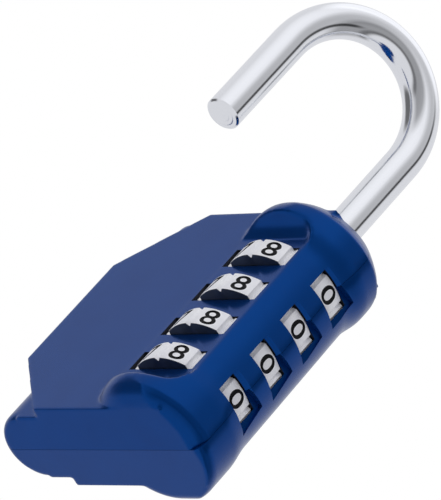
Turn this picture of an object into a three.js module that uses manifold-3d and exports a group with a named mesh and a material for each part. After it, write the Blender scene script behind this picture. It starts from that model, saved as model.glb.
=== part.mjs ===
// A four-dial combination padlock, shown unlocked: its shackle is lifted and swung out to the front.
//
// Units are millimetres. In the exported group +Z points up towards the shackle, -Y is the front,
// and the origin is the middle of the body's bottom face, on the plane where the two shells meet.
// Inside the "lock" group the origin is on the dial axis instead, halfway between the second and
// third dials, because nearly every piece is turned about that axis.
import * as THREE from "three";
import { mergeVertices } from "three/addons/utils/BufferGeometryUtils.js";
import Module from "manifold-3d";

const wasm = await Module();
wasm.setup();

// ---- Driving dimensions -------------------------------------------------------------------------

const DIAL_COUNT = 4;
const PITCH = 8.3; // from one dial to the next, and also the shackle's lift
const CLEARANCE = 0.3; // between pieces that touch or slide on the real lock

const BODY_BOTTOM = -24.45; // heights are measured from halfway up the dials
const BODY_TOP = 24.65;
const DIAL_X = 10.5; // from the body's middle to the dial axis

// The plate: a thick octagon whose right end disappears into the bulge over the dials.
const PLATE_HALF = 7.34;
const PLATE_LEFT = -31.95;
const PLATE_CORNER_X = -19.75; // where the slanted corners meet the top and bottom faces
const PLATE_LOW = -11.35; // the ends of the upright left edge
const PLATE_HIGH = 11.65;
const PLATE_RIGHT = 6.9;

// The slab: the thinner, round-edged body behind the plate that also takes the shackle's toe.
const SLAB_HALF = 5.8;
const SLAB_EDGE_X = -25.0;

// The bulge: a barrel about the dial axis, full at both ends and slimmer past the dials.
const LOBE_R = 11.0;
const BARREL_R = 10.25;
const BARREL_EDGE = 2.2; // height of the rounding at the barrel's ends
const BARREL_EDGE_IN = 1.6; // how far in the rounding comes on the end faces
const WAIST_RISE = 3; // height over which the barrel gets slimmer, inside the dials' zone
const ZONE_LOW = -17.4; // the dials' zone, where the barrel is cut flat at the front and back
const ZONE_HIGH = 17.0;
const SCOOP = 3.2; // height of the sloping scoop at either end of the zone
const SEAM_HALF = 0.1; // half the gap between the shells

// The dials and the sleeves that they turn.
const DIAL_R = 9.38;
const DIAL_WIDTH = 3.8;
const DIAL_BORE = 5.4;
const FACETS = 10;
const GROOVE = 0.55;
const POCKET_R = 9.7;
const POCKET_WIDTH = 4.4;
const SLEEVE_R = 5.1;
const SLEEVE_BORE = 4.6;
const FLANGE = 1.6; // thickness of the sleeve's inner flange
const FLANGE_BORE = 3.15;
const KEY_HALF = 0.7; // half width of the key between a sleeve and its dial
const KEY_TIP = 6.2;

// The side windows, through which one numeral of each dial is read.
const WINDOW_HALF_ANGLE = 19.3;
const WINDOW_HALF = 1.9;

// The shackle.
const ROD_R = 2.85;
const SPAN = 25.6; // between the middles of its legs
const ARCH_START = 45.3; // where the legs start to bend, with the shackle lifted
const ARCH_ASPECT = 1.157; // the arch's height over its half span
const TOE_END = 27.2;
const HEEL_END = -10;
const SWING = THREE.MathUtils.degToRad(68); // how far it is swung out from over its toe hole
const TOE_HOLE_DEPTH = 7.2;
const LUG_TIP = 4.25; // how far a lug reaches out from the rod's middle
const LUG_HEIGHT = 2.4;
const LUG_HALF = 1.1;

// Where a lug can pass a sleeve's flange, as directions about the dial axis in degrees.
const CLOSING_GATE = [156, 204];
const SETTING_GATE = [222, 288];

// The fittings inside.
const BUSH_LOW = 18.4;
const BUSH_HIGH = 22.8;
const BUSH_R = 4.1;
const SPRING_BASE = -22.0;
const SPRING_BORE_R = 3.4;
const SPRING_BORE_TOP = -18.2;
const SEAT_R = 3.1;
const CAP_R = 2.7;
const STUB_R = 1.4; // the stubs that centre the spring
const SPRING_R = 2.15;
const SPRING_WIRE = 0.3;
const SPRING_TURNS = 7;
const PIN_R = 1.2;
const PIN_LENGTH = 7.4;
const PIN_SPOTS = [[-13.2, 20.2], [-13.2, -20.2], [-25.4, 7.6], [-25.4, -11.6], [7.1, 20.8], [7.1, -20.8]];
const COMB_X = -11.6;
const COMB_HALF = 17;

// The space cast into the left of both shells to save metal, and the bosses that stand in it.
const HOLLOW_OUTLINE = [[-14.4, -19], [-14.4, 14.6], [-21, 14.6], [-27.2, 12.4], [-27.2, -14], [-19, -20.6]];
const WALL = 2;
const PIN_BOSS_R = 2.9;
const TOE_BOSS_R = 5.05;

const SIDES = 48; // flats round the barrel

// ---- Materials ----------------------------------------------------------------------------------

const finish = (color, roughness, metalness) =>
  new THREE.MeshStandardMaterial({ color, roughness, metalness });
const bluePaint = finish(0x1b3f8c, 0.32, 0.15);
const chrome = finish(0xdfe2e6, 0.12, 1);
const dialSilver = finish(0xdedde4, 0.4, 0.25);
const brass = finish(0xc09a4a, 0.35, 1);
const springSteel = finish(0x8d9094, 0.35, 1);
const zinc = finish(0x9fa2a6, 0.5, 0.9);

// ---- Joining and cutting ------------------------------------------------------------------------

/** The closed solid of a geometry, for joining and cutting. */
function solid(geometry) {
  const bare = geometry.clone();
  bare.deleteAttribute("normal");
  bare.deleteAttribute("uv");
  const merged = mergeVertices(bare, 1e-4);
  return new wasm.Manifold(
    new wasm.Mesh({
      numProp: 3,
      vertProperties: new Float32Array(merged.attributes.position.array),
      triVerts: new Uint32Array(merged.index.array),
    }),
  );
}

/** The geometry of a solid. */
function geometryOf(body) {
  const mesh = body.getMesh();
  const geometry = new THREE.BufferGeometry();
  geometry.setAttribute("position", new THREE.BufferAttribute(mesh.vertProperties, 3));
  geometry.setIndex(new THREE.BufferAttribute(mesh.triVerts, 1));
  geometry.computeVertexNormals();
  return geometry;
}

const join = (...bodies) => bodies.reduce((a, b) => a.add(b));
const cut = (body, ...tools) => tools.reduce((a, b) => a.subtract(b), body);

/** A named piece of the lock. */
function piece(name, geometry, material) {
  const mesh = new THREE.Mesh(geometry, material);
  mesh.name = name;
  return mesh;
}

// ---- Simple solids ------------------------------------------------------------------------------

/** A box between two corners. */
function block([x0, y0, z0], [x1, y1, z1]) {
  const box = new THREE.BoxGeometry(x1 - x0, y1 - y0, z1 - z0);
  return solid(box.translate((x0 + x1) / 2, (y0 + y1) / 2, (z0 + z1) / 2));
}

/** A turned solid about the vertical line at (x, y), from an outline of [radius, height] points. */
function turned(outline, sides = SIDES, x = 0, y = 0) {
  const points = outline.map(([r, z]) => new THREE.Vector2(r, z));
  return solid(new THREE.LatheGeometry(points, sides).rotateX(Math.PI / 2).translate(x, y, 0));
}

/** An upright cylinder. */
const rod = (r, z0, z1, sides = SIDES, x = 0, y = 0) =>
  turned([[0, z0], [r, z0], [r, z1], [0, z1]], sides, x, y);

/** An upright tube. */
const tube = (inner, outer, z0, z1, sides = SIDES) =>
  turned([[inner, z0], [outer, z0], [outer, z1], [inner, z1], [inner, z0]], sides);

/** A flat outline in x and y, extruded upwards from z0 to z1. */
function prism(outline, z0, z1) {
  const shape = new THREE.Shape(outline.map(([x, y]) => new THREE.Vector2(x, y)));
  const settings = { depth: z1 - z0, bevelEnabled: false };
  return solid(new THREE.ExtrudeGeometry(shape, settings).translate(0, 0, z0));
}

/** An outline in x and z, extruded through the lock from y0 to y1. */
function slab(outline, y0, y1) {
  const shape = new THREE.Shape(outline.map(([x, z]) => new THREE.Vector2(x, z)));
  const settings = { depth: y1 - y0, bevelEnabled: false };
  return solid(new THREE.ExtrudeGeometry(shape, settings).rotateX(Math.PI / 2).translate(0, y1, 0));
}

/** An upright wedge about the dial axis, between two directions in degrees. */
function wedge(radius, from, to, z0, z1, steps = 4) {
  const outline = [[0, 0]];
  for (let i = 0; i <= steps; i++) {
    const a = THREE.MathUtils.degToRad(from + ((to - from) * i) / steps);
    outline.push([radius * Math.cos(a), radius * Math.sin(a)]);
  }
  return prism(outline, z0, z1);
}

/** The heights of the dials' middles, from the top one down. */
const dialHeights = Array.from({ length: DIAL_COUNT }, (_, i) => ((DIAL_COUNT - 1) / 2 - i) * PITCH);

// ---- The body -----------------------------------------------------------------------------------

/** The octagonal plate. */
function plate() {
  return slab(
    [
      [PLATE_RIGHT, BODY_BOTTOM],
      [PLATE_RIGHT, BODY_TOP],
      [PLATE_CORNER_X, BODY_TOP],
      [PLATE_LEFT, PLATE_HIGH],
      [PLATE_LEFT, PLATE_LOW],
      [PLATE_CORNER_X, BODY_BOTTOM],
    ],
    -PLATE_HALF,
    PLATE_HALF,
  );
}

/** The slab behind the plate, with its full round left edge. */
function edgeSlab() {
  const outline = [[0, -SLAB_HALF], [0, SLAB_HALF]];
  const steps = 12;
  for (let i = 0; i <= steps; i++) {
    const a = Math.PI / 2 + (Math.PI * i) / steps;
    outline.push([SLAB_EDGE_X + SLAB_HALF * Math.cos(a), SLAB_HALF * Math.sin(a)]);
  }
  return prism(outline, BODY_BOTTOM, BODY_TOP);
}

/** The barrel over the dials, with rounded ends. */
function barrel() {
  const end = LOBE_R - BARREL_EDGE_IN;
  const soft = LOBE_R - 0.28 * BARREL_EDGE_IN;
  return turned([
    [0, BODY_BOTTOM],
    [end, BODY_BOTTOM],
    [soft, BODY_BOTTOM + BARREL_EDGE * 0.45],
    [LOBE_R, BODY_BOTTOM + BARREL_EDGE],
    [LOBE_R, ZONE_LOW - 1],
    [BARREL_R, ZONE_LOW + WAIST_RISE],
    [BARREL_R, ZONE_HIGH - WAIST_RISE],
    [LOBE_R, ZONE_HIGH + 1],
    [LOBE_R, BODY_TOP - BARREL_EDGE],
    [soft, BODY_TOP - BARREL_EDGE * 0.45],
    [end, BODY_TOP],
    [0, BODY_TOP],
  ]);
}

/** What is cut off the barrel in front of the plate, or behind it, along the dials. */
function zoneCut(side) {
  const outline = [
    [PLATE_HALF, ZONE_LOW],
    [PLATE_HALF, ZONE_HIGH],
    [LOBE_R + 1, ZONE_HIGH + SCOOP],
    [LOBE_R + 1, ZONE_LOW - SCOOP],
  ];
  const shape = new THREE.Shape(outline.map(([y, z]) => new THREE.Vector2(side * y, z)));
  const settings = { depth: 2 * LOBE_R + 2, bevelEnabled: false };
  const across = new THREE.ExtrudeGeometry(shape, settings);
  across.rotateX(Math.PI / 2).rotateZ(Math.PI / 2).translate(-LOBE_R - 1, 0, 0);
  return solid(across);
}

/** The outside of the closed body. */
function bodyOutside() {
  return cut(join(plate(), edgeSlab(), barrel()), zoneCut(1), zoneCut(-1));
}

/** Everything that is hollow inside the closed body. */
function bodyHollows() {
  const pockets = dialHeights.map((z) => rod(POCKET_R, z - POCKET_WIDTH / 2, z + POCKET_WIDTH / 2));
  const windows = dialHeights.map((z) =>
    wedge(LOBE_R + 2, -WINDOW_HALF_ANGLE, WINDOW_HALF_ANGLE, z - WINDOW_HALF, z + WINDOW_HALF),
  );
  const bore = turned(
    [
      [0, SPRING_BASE - 3 * CLEARANCE],
      [SPRING_BORE_R, SPRING_BASE - 3 * CLEARANCE],
      [SPRING_BORE_R, SPRING_BORE_TOP],
      [DIAL_BORE, SPRING_BORE_TOP],
      [DIAL_BORE, BUSH_LOW - CLEARANCE],
      [BUSH_R + CLEARANCE, BUSH_LOW - CLEARANCE],
      [BUSH_R + CLEARANCE, BUSH_HIGH + CLEARANCE],
      [ROD_R + CLEARANCE, BUSH_HIGH + CLEARANCE],
      [ROD_R + CLEARANCE, BODY_TOP + 1],
      [0, BODY_TOP + 1],
    ],
    32,
  );
  const toeHole = rod(ROD_R + CLEARANCE, BODY_TOP - TOE_HOLE_DEPTH, BODY_TOP + 1, 24, -SPAN);
  const combSlot = block([COMB_X - 0.8, -2, -COMB_HALF - 0.6], [1 - POCKET_R, 2, COMB_HALF + 0.6]);
  const holeLength = PIN_LENGTH + 2 * CLEARANCE;
  const pinHoles = PIN_SPOTS.map(([x, z]) => crosswise(PIN_R + CLEARANCE / 2, holeLength, x, z));
  return [...pockets, ...windows, bore, toeHole, combSlot, ...pinHoles, leftHollow()];
}

/** The space inside the left of both shells, clear of the pins and the toe hole. */
function leftHollow() {
  const deep = PLATE_HALF - WALL;
  const room = slab(HOLLOW_OUTLINE, -deep, deep);
  const bosses = PIN_SPOTS.map(([x, z]) => crosswise(PIN_BOSS_R, 2 * deep + 1, x, z));
  const toeBoss = rod(TOE_BOSS_R, BODY_TOP - TOE_HOLE_DEPTH - WALL, BODY_TOP, 24, -SPAN);
  return cut(room, ...bosses, toeBoss);
}

/** A cylinder that lies across the lock, along y. */
function crosswise(r, length, x, z, sides = 16) {
  const lying = new THREE.CylinderGeometry(r, r, length, sides);
  return solid(lying.translate(x, 0, z));
}

/** The front shell is side -1 and the back shell is side 1. */
function shell(name, side, closedBody) {
  const inner = side * SEAM_HALF;
  const outer = side * (LOBE_R + 2);
  const half = block(
    [PLATE_LEFT - 2, Math.min(inner, outer), BODY_BOTTOM - 2],
    [LOBE_R + 2, Math.max(inner, outer), BODY_TOP + 2],
  );
  return piece(name, geometryOf(closedBody.intersect(half)), bluePaint);
}

// ---- The dials ----------------------------------------------------------------------------------

/** A dial's rim: ten facets, each slightly crowned, with a V groove between each two. */
function dialRing(name, z) {
  const outline = [];
  const steps = 3;
  const facet = 360 / FACETS;
  for (let f = 0; f < FACETS; f++) {
    for (let i = 0; i <= steps; i++) {
      const a = THREE.MathUtils.degToRad(f * facet + (i / steps - 0.5) * (facet - 7));
      outline.push([DIAL_R * Math.cos(a), DIAL_R * Math.sin(a)]);
    }
    const a = THREE.MathUtils.degToRad((f + 0.5) * facet);
    outline.push([(DIAL_R - GROOVE) * Math.cos(a), (DIAL_R - GROOVE) * Math.sin(a)]);
  }
  const low = z - DIAL_WIDTH / 2;
  const high = z + DIAL_WIDTH / 2;
  const keyHalf = KEY_HALF + CLEARANCE;
  const keyway = block([-keyHalf, 0, low - 1], [keyHalf, KEY_TIP + CLEARANCE, high + 1]);
  const rim = cut(prism(outline, low, high), rod(DIAL_BORE, low - 1, high + 1, 32), keyway);
  return piece(name, geometryOf(rim), dialSilver);
}

/**
 * The sleeve that a dial turns. The shackle's lug passes its inner flange only where a gate is:
 * one gate to close the lock, and a wide one, a quarter turn round, to set a new number.
 */
function codeRing(name, z) {
  const low = z - PITCH / 2 + CLEARANCE / 2;
  const high = z + PITCH / 2 - CLEARANCE / 2;
  const sleeve = turned(
    [
      [SLEEVE_BORE, low],
      [SLEEVE_R, low],
      [SLEEVE_R, high],
      [SLEEVE_BORE, high],
      [SLEEVE_BORE, z + FLANGE / 2],
      [FLANGE_BORE, z + FLANGE / 2],
      [FLANGE_BORE, z - FLANGE / 2],
      [SLEEVE_BORE, z - FLANGE / 2],
      [SLEEVE_BORE, low],
    ],
    32,
  );
  const key = block([-KEY_HALF, SLEEVE_R - 0.3, z - 1.6], [KEY_HALF, KEY_TIP, z + 1.6]);
  const closingGate = wedge(SLEEVE_BORE, ...CLOSING_GATE, z - FLANGE, z + FLANGE);
  const settingGate = wedge(SLEEVE_BORE, ...SETTING_GATE, z - FLANGE, z + FLANGE);
  return piece(name, geometryOf(cut(join(sleeve, key), closingGate, settingGate)), brass);
}

// ---- The shackle and what lifts it --------------------------------------------------------------

/** The shackle's centre line, from the bottom of its heel up, over the arch and down to the toe. */
class ShackleLine extends THREE.Curve {
  constructor() {
    super();
    this.heel = ARCH_START - HEEL_END;
    this.toe = ARCH_START - TOE_END;
    this.arch = Math.PI * (SPAN / 2) * ((1 + ARCH_ASPECT) / 2);
  }

  getPoint(t, target = new THREE.Vector3()) {
    const s = t * (this.heel + this.arch + this.toe);
    if (s <= this.heel) return target.set(0, 0, HEEL_END + s);
    if (s >= this.heel + this.arch) return target.set(-SPAN, 0, ARCH_START - (s - this.heel - this.arch));
    const a = (Math.PI * (s - this.heel)) / this.arch;
    const half = SPAN / 2;
    return target.set(half * (Math.cos(a) - 1), 0, ARCH_START + half * ARCH_ASPECT * Math.sin(a));
  }
}

/** A round section with flats all round. */
function round(r, sides) {
  const points = [];
  for (let i = 0; i < sides; i++) {
    const a = (2 * Math.PI * (i + 0.5)) / sides;
    points.push(new THREE.Vector2(r * Math.cos(a), r * Math.sin(a)));
  }
  return new THREE.Shape(points);
}

/** The hardened rod, its lugs level with the gaps above the sleeves' flanges. */
function shackle() {
  const bent = new THREE.ExtrudeGeometry(round(ROD_R, 16), {
    steps: 52,
    extrudePath: new ShackleLine(),
    bevelEnabled: false,
  });
  const lugs = dialHeights.map((z) => {
    const middle = z + PITCH / 2;
    return block([-LUG_TIP, -LUG_HALF, middle - LUG_HEIGHT / 2], [-1, LUG_HALF, middle + LUG_HEIGHT / 2]);
  });
  return piece("shackle", geometryOf(join(solid(bent), ...lugs)), chrome);
}

/** The bush that guides the heel and stops the top lug. */
function heelBush() {
  return piece("heel_bush", geometryOf(tube(ROD_R + CLEARANCE, BUSH_R, BUSH_LOW, BUSH_HIGH, 32)), brass);
}

/** The cap between the spring and the end of the heel, with a stub that centres the spring. */
function springCap() {
  const top = HEEL_END - CLEARANCE;
  const cap = turned(
    [
      [0, top - 2],
      [STUB_R, top - 2],
      [STUB_R, top - 1],
      [CAP_R, top - 1],
      [CAP_R, top],
      [0, top],
    ],
    20,
  );
  return piece("spring_cap", geometryOf(cap), zinc);
}

/** A helix about the dial axis. */
class Helix extends THREE.Curve {
  constructor(radius, z0, z1, turns) {
    super();
    Object.assign(this, { radius, z0, z1, turns });
  }

  getPoint(t, target = new THREE.Vector3()) {
    const a = 2 * Math.PI * this.turns * t;
    const z = this.z0 + (this.z1 - this.z0) * t;
    return target.set(this.radius * Math.cos(a), this.radius * Math.sin(a), z);
  }
}

/** The spring that lifts the shackle. */
function shackleSpring() {
  const low = SPRING_BASE + SPRING_WIRE + CLEARANCE;
  const high = HEEL_END - CLEARANCE - 1 - SPRING_WIRE - CLEARANCE;
  const coil = new THREE.ExtrudeGeometry(round(SPRING_WIRE, 6), {
    steps: SPRING_TURNS * 12,
    extrudePath: new Helix(SPRING_R, low, high, SPRING_TURNS),
    bevelEnabled: false,
  });
  return piece("shackle_spring", coil, springSteel);
}

/** The seat under the spring, with a stub that centres it. */
function springSeat() {
  const seat = turned(
    [
      [0, SPRING_BASE - 0.6],
      [SEAT_R, SPRING_BASE - 0.6],
      [SEAT_R, SPRING_BASE],
      [STUB_R, SPRING_BASE],
      [STUB_R, SPRING_BASE + 1],
      [0, SPRING_BASE + 1],
    ],
    20,
  );
  return piece("spring_seat", geometryOf(seat), zinc);
}

// ---- Detent and pins ----------------------------------------------------------------------------

/** The comb of flat springs whose tips drop into the dials' grooves. */
function detentComb() {
  const spine = block([COMB_X - 0.4, -1.5, -COMB_HALF], [COMB_X, 1.5, COMB_HALF]);
  const root = COMB_X - 0.2;
  const tip = -DIAL_R - 0.25;
  const tooth = [[root, -0.9], [tip, -0.2], [tip, 0.2], [root, 0.9]];
  const teeth = dialHeights.map((z) => prism(tooth, z - 1.2, z + 1.2));
  return piece("detent_comb", geometryOf(join(spine, ...teeth)), springSteel);
}

/** One of the pins, pressed into bosses of both shells, that hold the body together. */
function assemblyPin(index, [x, z]) {
  const half = PIN_LENGTH / 2;
  const tip = PIN_R - 0.3;
  const points = [[0, -half], [tip, -half], [PIN_R, 0.3 - half], [PIN_R, half - 0.3], [tip, half], [0, half]];
  const pin = new THREE.LatheGeometry(points.map(([r, y]) => new THREE.Vector2(r, y)), 14);
  return piece(`assembly_pin_${index + 1}`, geometryOf(solid(pin.translate(x, 0, z))), zinc);
}

// ---- The assembly -------------------------------------------------------------------------------

const lock = new THREE.Group();
const closedBody = cut(bodyOutside(), ...bodyHollows());
lock.add(shell("front_shell", -1, closedBody), shell("back_shell", 1, closedBody));
dialHeights.forEach((z, i) => lock.add(dialRing(`dial_ring_${i + 1}`, z), codeRing(`code_ring_${i + 1}`, z)));
lock.add(heelBush(), springCap(), shackleSpring(), springSeat(), detentComb());
PIN_SPOTS.forEach((spot, i) => lock.add(assemblyPin(i, spot)));

const swungShackle = new THREE.Group();
swungShackle.rotation.z = SWING;
swungShackle.add(shackle());
lock.add(swungShackle);

lock.position.set(DIAL_X, 0, -BODY_BOTTOM);
const padlock = new THREE.Group();
padlock.add(lock);

export default padlock;
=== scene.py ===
"""The looks of a four-dial combination padlock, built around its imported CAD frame.

Pieces are modelled in millimetres with the origin on the dials' axis, halfway between the second and
third dials: +Z towards the shackle, -Y out of the front plate and +X towards the numeral windows.
place_in_row() then brings each finished piece into the frame's metres.
"""

import logging
import math
from collections.abc import Callable, Iterable, Iterator, Sequence
from contextlib import contextmanager
from dataclasses import dataclass
from enum import Enum

import bpy
from mathutils import Matrix, Vector

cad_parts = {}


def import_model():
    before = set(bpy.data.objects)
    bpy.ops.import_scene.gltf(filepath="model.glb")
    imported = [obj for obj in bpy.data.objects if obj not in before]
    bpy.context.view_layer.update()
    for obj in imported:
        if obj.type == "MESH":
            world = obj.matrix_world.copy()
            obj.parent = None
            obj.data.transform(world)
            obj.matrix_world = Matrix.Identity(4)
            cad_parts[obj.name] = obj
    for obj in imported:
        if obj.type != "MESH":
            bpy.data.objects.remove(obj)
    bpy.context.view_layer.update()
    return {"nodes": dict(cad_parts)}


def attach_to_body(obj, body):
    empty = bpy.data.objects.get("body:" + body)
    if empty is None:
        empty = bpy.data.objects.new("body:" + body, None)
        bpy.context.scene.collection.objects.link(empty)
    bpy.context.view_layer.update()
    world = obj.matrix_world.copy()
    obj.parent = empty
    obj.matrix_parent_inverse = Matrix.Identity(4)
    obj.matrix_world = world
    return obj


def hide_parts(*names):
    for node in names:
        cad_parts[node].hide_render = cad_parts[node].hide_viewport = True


log = logging.getLogger("padlock")

Point = tuple[float, float, float]
Outline = tuple[tuple[float, float], ...]

MILLIMETRE = 0.001
DIAL_AXIS_X = 10.5
"""From the row's origin to the dials' axis."""
DIAL_MIDDLE_Z = 24.45
"""From the body's bottom face to halfway between the second and third dials."""
PITCH = 8.3
DIAL_HEIGHTS = [(1.5 - i) * PITCH for i in range(4)]
"""The heights of the dials' middles, from the top one down."""
BODY_BOTTOM = -24.45
BODY_TOP = 24.65
ROD_RADIUS = 2.85
"""The shackle's nominal radius, which its holes are made for."""
SPAN = 25.6
"""Between the middles of the shackle's legs."""


# ---- At the bench: selecting, cutting and joining --------------------------------------------------


def deselect_all() -> None:
    """Leaves edit mode and deselects every object."""
    if bpy.context.object and bpy.context.object.mode != "OBJECT":
        bpy.ops.object.mode_set(mode="OBJECT")
    bpy.ops.object.select_all(action="DESELECT")


def select_only(*pieces: bpy.types.Object) -> None:
    """Selects the pieces and makes the first one active.

    Args:
        pieces: the objects to select.
    """
    deselect_all()
    for piece in pieces:
        piece.select_set(True)
    bpy.context.view_layer.objects.active = pieces[0]


@contextmanager
def editing(piece: bpy.types.Object, mode: str = "FACE") -> Iterator[None]:
    """Opens a piece in edit mode with nothing selected, and leaves edit mode at the end.

    Args:
        piece: the mesh object to edit.
        mode: VERT, EDGE or FACE, what selecting works on.
    """
    select_only(piece)
    bpy.ops.object.mode_set(mode="EDIT")
    bpy.ops.mesh.select_mode(type=mode)
    bpy.ops.mesh.select_all(action="DESELECT")
    yield
    bpy.ops.object.mode_set(mode="OBJECT")


def pick_edges(piece: bpy.types.Object, wanted: Callable[[Vector, Vector], bool]) -> None:
    """Selects, in edit mode, the edges whose two ends a test accepts.

    Args:
        piece: the object being edited.
        wanted: says whether an edge with these ends is selected.
    """
    bpy.ops.object.mode_set(mode="OBJECT")
    points = piece.data.vertices
    for edge in piece.data.edges:
        a, b = edge.vertices
        edge.select = wanted(points[a].co, points[b].co)
    bpy.ops.object.mode_set(mode="EDIT")


def finish_mesh(piece: bpy.types.Object, merge: float = 1e-4) -> bpy.types.Object:
    """Merges doubles and turns every face outwards.

    Args:
        piece: the object to clean.
        merge: the distance under which vertices become one.

    Returns:
        The same piece.
    """
    with editing(piece, "VERT"):
        bpy.ops.mesh.select_all(action="SELECT")
        bpy.ops.mesh.remove_doubles(threshold=merge)
        bpy.ops.mesh.normals_make_consistent(inside=False)
    return piece


def apply_modifier(piece: bpy.types.Object, kind: str, **settings: object) -> bpy.types.Object:
    """Adds a modifier with these settings and applies it.

    Args:
        piece: the object to change.
        kind: the modifier's type.
        settings: its properties by name.

    Returns:
        The same piece.
    """
    select_only(piece)
    modifier = piece.modifiers.new(kind.title(), kind)
    for name, value in settings.items():
        setattr(modifier, name, value)
    bpy.ops.object.modifier_apply(modifier=modifier.name)
    return piece


class Cut(Enum):
    """What a boolean tool does to the piece."""

    AWAY = "DIFFERENCE"
    JOIN = "UNION"
    COMMON = "INTERSECT"


def combine(piece: bpy.types.Object, tool: bpy.types.Object, how: Cut) -> bpy.types.Object:
    """Joins a tool to a piece or cuts with it, and throws the tool away.

    Args:
        piece: the object that is kept.
        tool: the closed mesh that cuts or joins.
        how: which of the three it does.

    Returns:
        The piece.
    """
    settings = {"object": tool, "operation": how.value, "solver": "EXACT", "material_mode": "TRANSFER"}
    apply_modifier(piece, "BOOLEAN", **settings)
    bpy.data.objects.remove(tool)
    return piece


def copy_of(piece: bpy.types.Object, name: str) -> bpy.types.Object:
    """A copy of a piece with a mesh of its own."""
    select_only(piece)
    bpy.ops.object.duplicate()
    twin = bpy.context.object
    twin.name = name
    return twin


# ---- Simple solids ---------------------------------------------------------------------------------


def trace(name: str, points: Sequence[Point], closed: bool = True) -> bpy.types.Object:
    """Draws a chain of edges by extruding one vertex from point to point.

    Args:
        name: the new object's name.
        points: the chain's corners, in order.
        closed: whether the chain is closed and filled with a face.

    Returns:
        The new object.
    """
    deselect_all()
    bpy.ops.mesh.primitive_plane_add(size=1, location=points[0])
    piece = bpy.context.object
    piece.name = name
    bpy.ops.object.transform_apply(location=True, rotation=True, scale=True)
    with editing(piece, "VERT"):
        bpy.ops.mesh.select_all(action="SELECT")
        bpy.ops.mesh.merge(type="CENTER")
        for start, end in zip(points, points[1:]):
            step = Vector(end) - Vector(start)
            bpy.ops.mesh.extrude_region_move(TRANSFORM_OT_translate={"value": step})
        if closed:
            bpy.ops.mesh.select_all(action="SELECT")
            bpy.ops.mesh.edge_face_add()
    return piece


def pulled(name: str, outline: Sequence[Point], along: Point) -> bpy.types.Object:
    """A flat outline pulled out into a solid.

    Args:
        name: the new object's name.
        outline: the corners of the flat outline.
        along: how far and which way it is pulled.

    Returns:
        The new object.
    """
    piece = trace(name, outline)
    with editing(piece, "FACE"):
        bpy.ops.mesh.select_all(action="SELECT")
        bpy.ops.mesh.extrude_region_move(TRANSFORM_OT_translate={"value": along})
    return finish_mesh(piece)


def turned(
    name: str, outline: Sequence[tuple[float, float]], steps: int, x: float = 0.0
) -> bpy.types.Object:
    """A solid spun about an upright line, from [radius, height] points.

    Args:
        name: the new object's name.
        outline: the outline from the axis out and back to it, or closed on itself.
        steps: how many flats go all the way round.
        x: where the line stands.

    Returns:
        The new object.
    """
    piece = trace(name, [(x + r, 0.0, z) for r, z in outline], closed=False)
    with editing(piece, "EDGE"):
        bpy.ops.mesh.select_all(action="SELECT")
        bpy.ops.mesh.spin(steps=steps, angle=math.tau, center=(x, 0, 0), axis=(0, 0, 1))
    return finish_mesh(piece)


def block(name: str, low: Point, high: Point) -> bpy.types.Object:
    """A box between two corners.

    Args:
        name: the new object's name.
        low: its lowest corner.
        high: its highest corner.

    Returns:
        The new object.
    """
    deselect_all()
    middle = [(a + b) / 2 for a, b in zip(low, high)]
    size = [b - a for a, b in zip(low, high)]
    bpy.ops.mesh.primitive_cube_add(size=1, location=middle, scale=size)
    piece = bpy.context.object
    piece.name = name
    bpy.ops.object.transform_apply(location=True, rotation=True, scale=True)
    return piece


def cylinder(
    name: str, radius: float, low: float, high: float, sides: int, x: float = 0.0
) -> bpy.types.Object:
    """An upright cylinder, as a tool to cut with.

    Args:
        name: the new object's name.
        radius: its radius.
        low: its lower end.
        high: its upper end.
        sides: flats all the way round.
        x: where its axis stands.

    Returns:
        The new object.
    """
    deselect_all()
    bpy.ops.mesh.primitive_cylinder_add(
        vertices=sides, radius=radius, depth=high - low, location=(x, 0, (low + high) / 2)
    )
    piece = bpy.context.object
    piece.name = name
    bpy.ops.object.transform_apply(location=True, rotation=True, scale=True)
    return piece


def arc(
    cx: float, cy: float, radius: float, start: float, end: float, steps: int
) -> list[tuple[float, float]]:
    """Points along an arc.

    Args:
        cx: the centre's first coordinate.
        cy: the centre's second coordinate.
        radius: the arc's radius.
        start: the angle of the first point, in degrees.
        end: the angle of the last point, in degrees.
        steps: the number of stretches between the points.

    Returns:
        The points, both ends included.
    """
    angles = [math.radians(start + (end - start) * i / steps) for i in range(steps + 1)]
    return [(cx + radius * math.cos(a), cy + radius * math.sin(a)) for a in angles]


def smoothstep(t: float) -> float:
    """A soft ramp from 0 to 1."""
    t = min(max(t, 0.0), 1.0)
    return t * t * (3 - 2 * t)


def place_in_row(piece: bpy.types.Object, sharp_angle: float = 30.0) -> bpy.types.Object:
    """Brings a finished piece from the bench into the row frame, in metres, with smooth shading.

    Args:
        piece: the piece, in millimetres about the dials' axis.
        sharp_angle: edges sharper than this many degrees stay sharp.

    Returns:
        The same piece.
    """
    select_only(piece)
    in_row = Matrix.Scale(MILLIMETRE, 4) @ Matrix.Translation((DIAL_AXIS_X, 0, DIAL_MIDDLE_Z))
    piece.matrix_world = in_row @ piece.matrix_world
    bpy.ops.object.transform_apply(location=True, rotation=True, scale=True)
    bpy.ops.object.shade_smooth_by_angle(angle=math.radians(sharp_angle))
    return piece


# ---- Finishes --------------------------------------------------------------------------------------


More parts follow.
